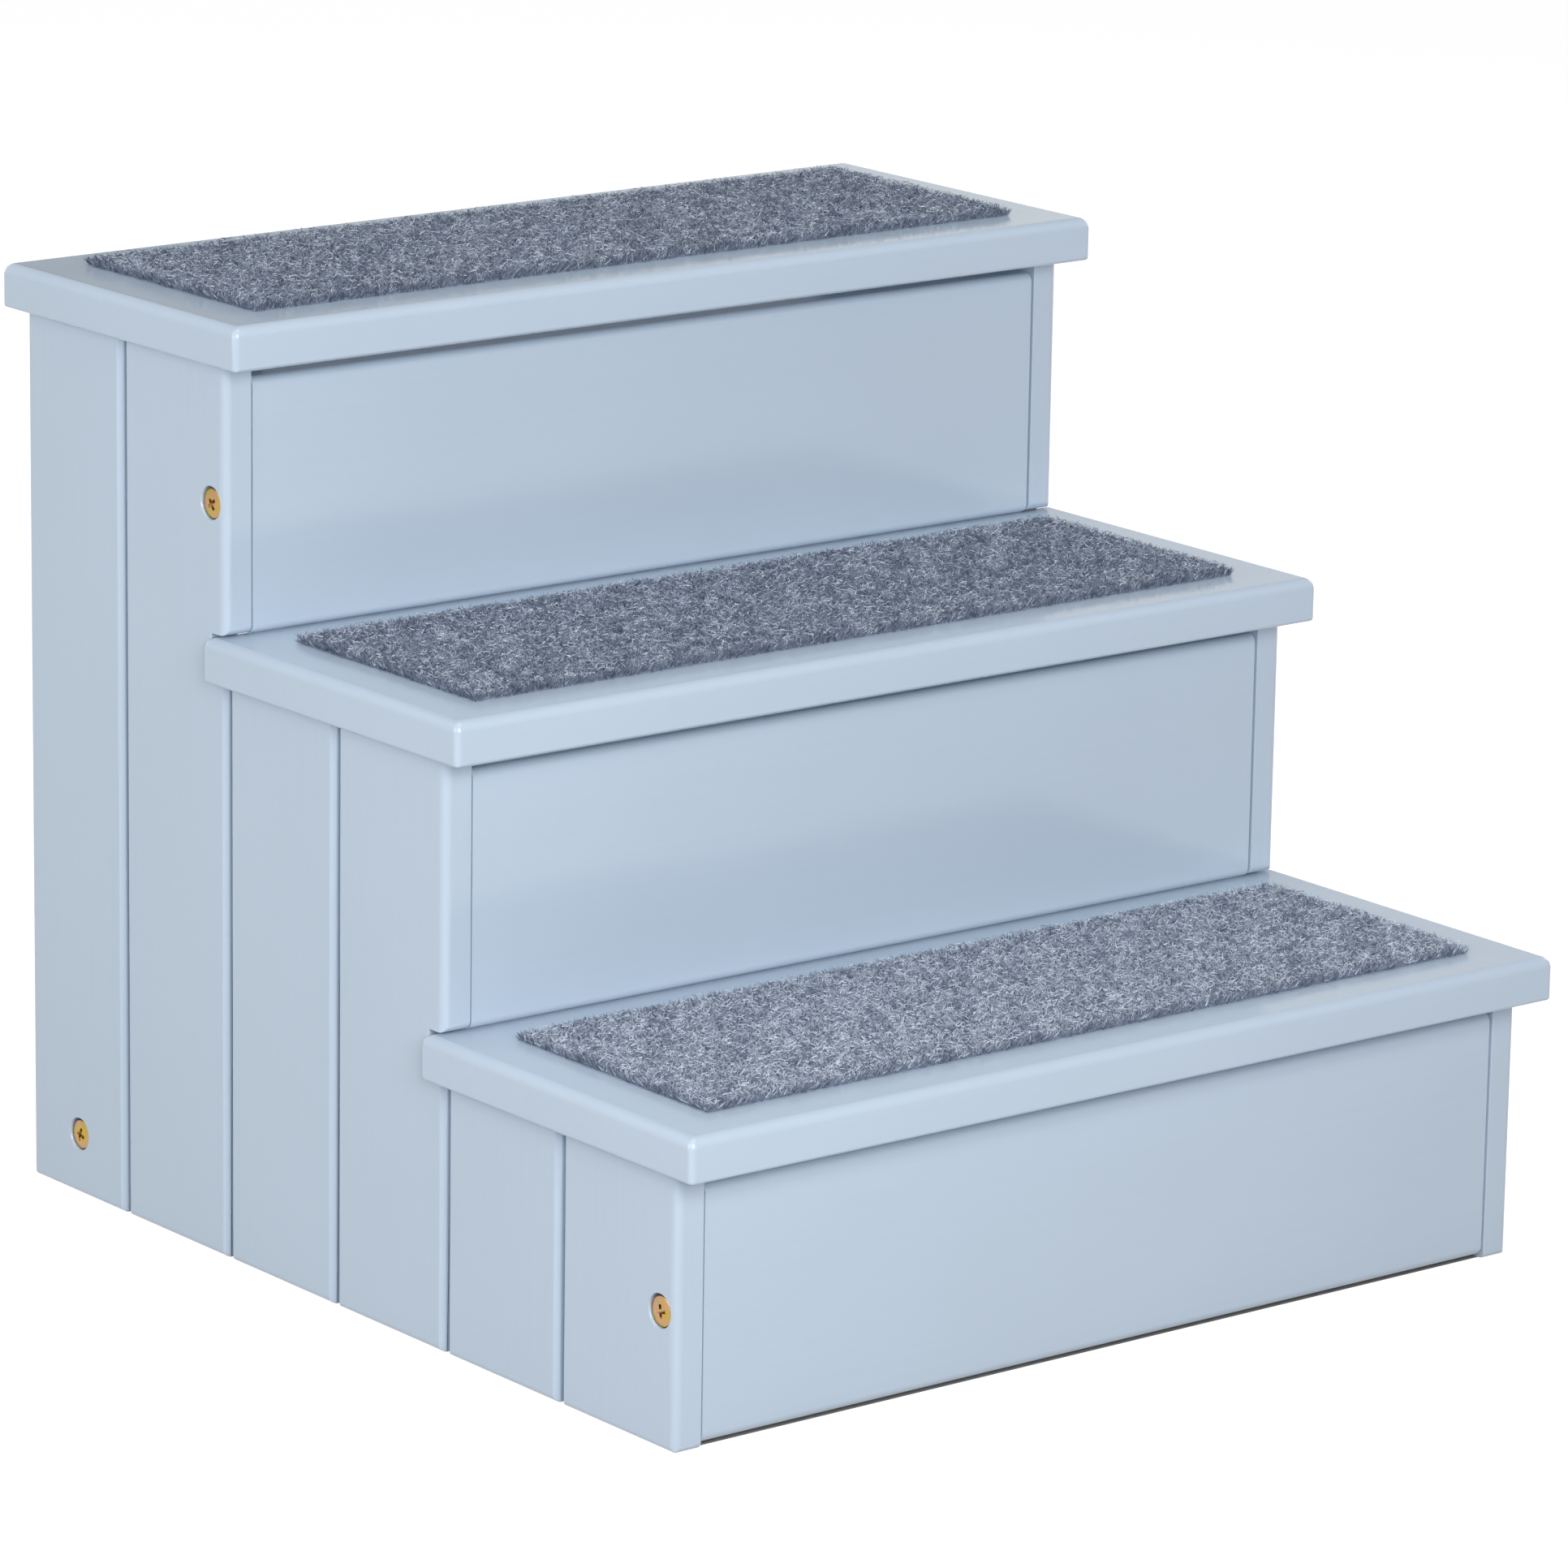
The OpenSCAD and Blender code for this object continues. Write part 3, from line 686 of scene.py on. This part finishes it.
def mat_bed(node, piece_name, draw):
    """The backing with its bed of roots: a closed slab whose top is uneven and round-edged."""
    low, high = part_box(node)
    inset = Vector((MAT_BED_INSET, MAT_BED_INSET, 0))
    low, high = low + inset, high - inset
    size = high - low
    bpy.ops.object.select_all(action="DESELECT")
    bpy.ops.mesh.primitive_grid_add(
        x_subdivisions=round(size.x / MAT_CELL),
        y_subdivisions=round(size.y / MAT_CELL),
        size=1,
        location=((low.x + high.x) / 2, (low.y + high.y) / 2, low.z),
    )
    piece = bpy.context.object
    piece.name = piece_name
    piece.scale = (size.x, size.y, 1)
    bpy.ops.object.transform_apply(location=True, rotation=True, scale=True)
    bpy.ops.object.mode_set(mode="EDIT")
    bpy.ops.mesh.select_all(action="SELECT")
    bpy.ops.mesh.extrude_region_move(TRANSFORM_OT_translate={"value": (0, 0, MAT_BED)})
    bpy.ops.mesh.select_all(action="SELECT")
    bpy.ops.mesh.normals_make_consistent(inside=False)
    bpy.ops.object.mode_set(mode="OBJECT")
    for vertex in piece.data.vertices:
        if vertex.co.z > low.z + MAT_BED / 2:
            edge = min(
                vertex.co.x - low.x, high.x - vertex.co.x, vertex.co.y - low.y, high.y - vertex.co.y
            )
            drop = MAT_EDGE_ROUND * max(0, 1 - edge / MAT_CELL) ** 2
            vertex.co.z += draw.uniform(-MAT_BED_WAVE, MAT_BED_WAVE) - drop
    return piece


def fibre_pattern(middle):
    """The points and faces of a spike of unit length and radius, with its middle at a height."""
    bpy.ops.object.select_all(action="DESELECT")
    bpy.ops.mesh.primitive_cone_add(
        vertices=FIBRE_SIDES, radius1=1, depth=1, location=(0, 0, middle)
    )
    bpy.ops.object.transform_apply(location=True, rotation=True, scale=True)
    fibre = bpy.context.object
    points = np.array([v.co for v in fibre.data.vertices])
    faces = [tuple(face.vertices) for face in fibre.data.polygons]
    bpy.data.objects.remove(fibre)
    return points, faces


def drift(x, y, wave):
    """A slow, smooth swing between -1 and 1 over the mat, the same each time."""
    bend, bend_rate, cross_rate, slant = DRIFT_SHAPE
    along = np.sin(x / wave + bend * np.sin(y / wave * bend_rate))
    return along * np.cos(y / wave * cross_rate + x / wave * slant)


def strewn(low, high, pitch, draw):
    """Places over the mat, one in each cell of a grid, off the cell's middle by chance."""
    columns = round((high.x - low.x) / pitch)
    rows = round((high.y - low.y) / pitch)
    column, row = np.meshgrid(np.arange(columns), np.arange(rows))
    stray_x, stray_y = draw.uniform(-STRAY_IN_CELL, STRAY_IN_CELL, (2, columns * rows))
    x = low.x + (column.ravel() + 0.5 + stray_x) * (high.x - low.x) / columns
    y = low.y + (row.ravel() + 0.5 + stray_y) * (high.y - low.y) / rows
    return x, y


def yarn_shade(x, y, tuft, own, lighter):
    """Each fibre's shade from 0 to 1: part its clump's, part its tuft's, part its own."""
    clump = 0.5 + 0.5 * drift(x, y, CLUMP)
    mixed = CLUMP_SHARE * clump + TUFT_SHARE * tuft + FIBRE_SHARE * own + lighter
    return np.clip(0.5 + SHADE_CONTRAST * (mixed - 0.5), 0, 1)


def edge_places(low, high, draw):
    """Places along the four edges of a mat, and the way that points out of the mat there."""
    x, y, out_x, out_y = [], [], [], []
    runs = ((0, low.x, high.x, low.y, high.y), (1, low.y, high.y, low.x, high.x))
    for across, start, end, near, far in runs:
        for side, outward in ((near, -1), (far, 1)):
            count = round((end - start) / EDGE_PITCH) * EDGE_ROWS
            along = draw.uniform(start, end, count)
            inward = side - outward * draw.uniform(*EDGE_BAND, count)
            x.append(inward if across else along)
            y.append(along if across else inward)
            out_x.append(np.full(count, outward * across))
            out_y.append(np.full(count, outward * (1 - across)))
    return (np.concatenate(part) for part in (x, y, out_x, out_y))


def copied_fibres(piece_name, pattern, root, along, length, radius, shade):
    """One mesh with a copy of the pattern for each root, turned along its own direction."""
    along = along / np.linalg.norm(along, axis=1, keepdims=True)
    across = np.cross(along, FIBRE_ASIDE)
    across /= np.linalg.norm(across, axis=1, keepdims=True)
    beside = np.cross(along, across)
    pattern_points, pattern_faces = pattern
    points = (
        root[:, None]
        + pattern_points[None, :, 2:3] * (along * length[:, None])[:, None]
        + pattern_points[None, :, 0:1] * (across * radius[:, None])[:, None]
        + pattern_points[None, :, 1:2] * (beside * radius[:, None])[:, None]
    ).reshape(-1, 3)
    faces = [
        tuple(start + corner for corner in face)
        for start in range(0, len(points), len(pattern_points))
        for face in pattern_faces
    ]
    mesh = bpy.data.meshes.new(piece_name)
    mesh.from_pydata(points.tolist(), [], faces)
    shades = mesh.attributes.new("shade", "FLOAT", "POINT")
    shades.data.foreach_set("value", np.repeat(shade, len(pattern_points)).astype(np.float32))
    piece = bpy.data.objects.new(piece_name, mesh)
    bpy.context.collection.objects.link(piece)
    return piece


def mat_pile(node, piece_name, tufts, lighter, draw):
    """The standing yarn: far too many fibres to place by hand, so one is copied by rule."""
    low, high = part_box(node)
    tuft_x, tuft_y, tuft_shade = tufts
    tuft = np.repeat(tuft_shade, TUFT_FIBRES)
    count = len(tuft)
    x = np.repeat(tuft_x, TUFT_FIBRES) + draw.normal(0, TUFT_WIDTH, count)
    y = np.repeat(tuft_y, TUFT_FIBRES) + draw.normal(0, TUFT_WIDTH, count)
    x = np.clip(x, low.x + FIBRE_R, high.x - FIBRE_R)
    y = np.clip(y, low.y + FIBRE_R, high.y - FIBRE_R)
    wave_x, wave_y = PILE_LAY_WAVES
    lean_x = PILE_LAY * drift(x, y, wave_x) + draw.normal(0, FIBRE_SPLAY, count)
    lean_y = PILE_LAY * drift(y, x, wave_y) + draw.normal(0, FIBRE_SPLAY, count)
    for lean, place, near, far in ((lean_x, x, low.x, high.x), (lean_y, y, low.y, high.y)):
        lean += EDGE_LEAN * np.clip(1 - (far - place) / EDGE_REACH, 0, 1)
        lean -= EDGE_LEAN * np.clip(1 - (place - near) / EDGE_REACH, 0, 1)
    shade = yarn_shade(x, y, tuft, draw.uniform(0, 1, count), lighter)
    edge_x, edge_y, out_x, out_y = edge_places(low, high, draw)
    edges = len(edge_x)
    spill = draw.uniform(*EDGE_SPILL, edges)
    stray_x, stray_y = draw.normal(0, EDGE_SPLAY, (2, edges))
    edge_tuft, edge_own = draw.uniform(0, 1, (2, edges))
    # The edge fibres' tones are darkened here as painted shade on the fringe.
    edge_tone_in_painted_shade = EDGE_PAINTED_SHADE * yarn_shade(edge_x, edge_y, edge_tuft, edge_own, lighter)
    edge_root = low.z + draw.uniform(*EDGE_ROOT, edges)
    height = draw.uniform(*FIBRE_HEIGHT, count) * (1 + PILE_SWELL * drift(x, y, PILE_SWELL_WAVE))
    edge_height = draw.uniform(*EDGE_HEIGHT, edges)
    root = np.stack([x, y, np.full(count, low.z + FIBRE_ROOT)], axis=1)
    along = np.stack([lean_x, lean_y, np.ones(count)], axis=1)
    edge_lean_x, edge_lean_y = spill * out_x + stray_x, spill * out_y + stray_y
    edge_along = np.stack([edge_lean_x, edge_lean_y, np.ones(edges)], axis=1)
    return copied_fibres(
        piece_name,
        fibre_pattern(0.5),
        np.concatenate([root, np.stack([edge_x, edge_y, edge_root], axis=1)]),
        np.concatenate([along, edge_along]),
        np.concatenate([height, edge_height]),
        FIBRE_R * draw.uniform(*FIBRE_R_RANGE, count + edges),
        np.concatenate([shade, edge_tone_in_painted_shade]),
    )


def mat_curl(node, piece_name, tufts, lighter, draw):
    """The curled ends that lie across each other on top of the standing yarn."""
    low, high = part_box(node)
    inset = Vector((CURL_INSET, CURL_INSET, 0))
    x, y = strewn(low + inset, high - inset, CURL_PITCH, draw)
    count = len(x)
    tuft_shade = tufts[2]
    columns = round((high.x - low.x) / TUFT_PITCH)
    rows = round((high.y - low.y) / TUFT_PITCH)
    column = np.clip((x - low.x) / (high.x - low.x) * columns, 0, columns - 1).astype(int)
    row = np.clip((y - low.y) / (high.y - low.y) * rows, 0, rows - 1).astype(int)
    tuft = tuft_shade[row * columns + column]
    level = draw.uniform(*CURL_LEVEL, count) + CURL_SWELL * drift(x, y, PILE_SWELL_WAVE)
    turn = draw.uniform(0, 2 * math.pi, count)
    return copied_fibres(
        piece_name,
        fibre_pattern(0),
        np.stack([x, y, low.z + level], axis=1),
        np.stack([np.cos(turn), np.sin(turn), draw.uniform(*CURL_RISE, count)], axis=1),
        draw.uniform(*CURL_LENGTH, count),
        CURL_R * draw.uniform(*FIBRE_R_RANGE, count),
        yarn_shade(x, y, tuft, draw.uniform(0, 1, count), lighter),
    )


felt = pile_bed_felt("pile_roots")
yarn = pile_yarn("heather_yarn")
for step_number, step in enumerate(STEPS):
    node = step + "_carpet"
    draw = np.random.default_rng(PILE_SEED + step_number)
    bed = mat_bed(node, step + "_mat_backing", draw)
    low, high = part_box(node)
    tuft_x, tuft_y = strewn(low, high, TUFT_PITCH, draw)
    tufts = tuft_x, tuft_y, draw.uniform(0, 1, len(tuft_x))
    pile = mat_pile(node, step + "_mat_pile", tufts, SHADE_OF_MAT[step], draw)
    curl = mat_curl(node, step + "_mat_curl", tufts, SHADE_OF_MAT[step], draw)
    finish(bed, felt, node)
    finish(pile, yarn, node)
    finish(curl, yarn, node)


# Floor
# A plain pale floor under the stairs. The camera sees it as white, apart from the soft
# shadow that the stairs throw on it, and dark inside them, where no light reaches.
FLOOR_SIZE = 12.0
FLOOR_DARK = (0.19, 0.20)
FLOOR_TONE = (0.32, 0.32, 0.32, 1)
FLOOR_GLOW = 0.9


def reckoned(tree, operation, *values):
    """The outcome of one sum or comparison of values or sockets."""
    return shader_node(tree, "Math", dict(enumerate(values)), operation=operation).outputs[0]


bpy.ops.object.select_all(action="DESELECT")
bpy.ops.mesh.primitive_plane_add(size=FLOOR_SIZE)
floor = bpy.context.object
floor.name = "floor"
floor_white, tree, surface = new_material("floor_white")
tree.nodes.remove(surface)
path = shader_node(tree, "LightPath").outputs
seen = reckoned(tree, "MAXIMUM", path["Is Camera Ray"], path["Is Glossy Ray"])
spot = shader_node(tree, "SeparateXYZ", {0: shader_node(tree, "TexCoord").outputs["Object"]})
away = [
    reckoned(tree, "GREATER_THAN", reckoned(tree, "ABSOLUTE", spot.outputs[axis]), reach)
    for axis, reach in zip("XY", FLOOR_DARK)
]
lit = reckoned(tree, "MULTIPLY", seen, reckoned(tree, "MAXIMUM", *away))
glow = shader_node(tree, "Emission", {"Strength": reckoned(tree, "MULTIPLY", lit, FLOOR_GLOW)})
matt = shader_node(tree, "BsdfDiffuse", {"Color": FLOOR_TONE})
both = shader_node(tree, "AddShader", {0: matt.outputs[0], 1: glow.outputs[0]})
tree.links.new(both.outputs[0], tree.nodes["Material Output"].inputs["Surface"])
floor.data.materials.append(floor_white)
floor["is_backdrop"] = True


# Light
# A white surround that dims overhead, with a dark card behind the stairs that takes the
# glare off the top tread's left end, and five soft lamps: one low in front, a weaker one
# low at the left, one overhead for the treads, and two that fill the right side and back.
SKY_WHITE = (1, 1, 1, 1)
SKY_SEEN = 1.0
SKY_GIVEN = (0.85, 0.0)
SKY_SHINE = (1.0, 0.1)
SKY_DIM_AT = 0.9
CARD_HEADING = math.radians(31)
CARD_HEIGHT = math.radians(16)
CARD_REACH = (math.radians(4), math.radians(8.5))
LAMPS = {
    "front_lamp": {"heading": -28, "height": 20, "away": 1.6, "size": 0.8, "power": 18},
    "side_lamp": {"heading": -98, "height": 12, "away": 1.6, "size": 0.9, "power": 7},
    "top_lamp": {"heading": -30, "height": 86, "away": 2.0, "size": 1.2, "power": 14.5},
    "right_lamp": {"heading": 97, "height": 20, "away": 2.2, "size": 1.0, "power": 9},
    "back_lamp": {"heading": 185, "height": 15, "away": 2.2, "size": 1.0, "power": 4},
}
LAMP_AIM = Vector((0, 0, 0.2))

world = bpy.data.worlds.new("studio")
bpy.context.scene.world = world
world.use_nodes = True
tree = world.node_tree
direction = shader_node(tree, "TexCoord").outputs["Generated"]
upward = shader_node(tree, "SeparateXYZ", {0: direction}).outputs["Z"]
given, shine = (
    rescaled(tree, upward, (0.0, SKY_DIM_AT), low_and_overhead)
    for low_and_overhead in (SKY_GIVEN, SKY_SHINE)
)
card = Vector((
    math.sin(CARD_HEADING) * math.cos(CARD_HEIGHT),
    math.cos(CARD_HEADING) * math.cos(CARD_HEIGHT),
    math.sin(CARD_HEIGHT),
))
nearness = shader_node(tree, "VectorMath", {0: direction, 1: card}, operation="DOT_PRODUCT")
card_edge = [math.cos(angle) for angle in CARD_REACH]
past_card = rescaled(tree, nearness.outputs["Value"], card_edge, (0.0, 1.0))
shine = reckoned(tree, "MULTIPLY", shine, past_card)
path = shader_node(tree, "LightPath").outputs
lighting = shader_node(tree, "Mix", {"Factor": path["Is Glossy Ray"], "A": given, "B": shine})
unseen = lighting.outputs["Result"]
strength = shader_node(tree, "Mix", {"Factor": path["Is Camera Ray"], "A": unseen, "B": SKY_SEEN})
tree.links.new(strength.outputs["Result"], tree.nodes["Background"].inputs["Strength"])
tree.nodes["Background"].inputs["Color"].default_value = SKY_WHITE

for name, lamp in LAMPS.items():
    heading, height = math.radians(lamp["heading"]), math.radians(lamp["height"])
    towards = Vector((
        math.sin(heading) * math.cos(height),
        -math.cos(heading) * math.cos(height),
        math.sin(height),
    ))
    bpy.ops.object.light_add(type="AREA", location=LAMP_AIM + lamp["away"] * towards)
    light = bpy.context.object
    light.name = name
    light.data.size = lamp["size"]
    light.data.energy = lamp["power"]
    light.rotation_euler = towards.to_track_quat("Z", "Y").to_euler()

bpy.context.scene.view_settings.view_transform = "Standard"

low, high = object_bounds()
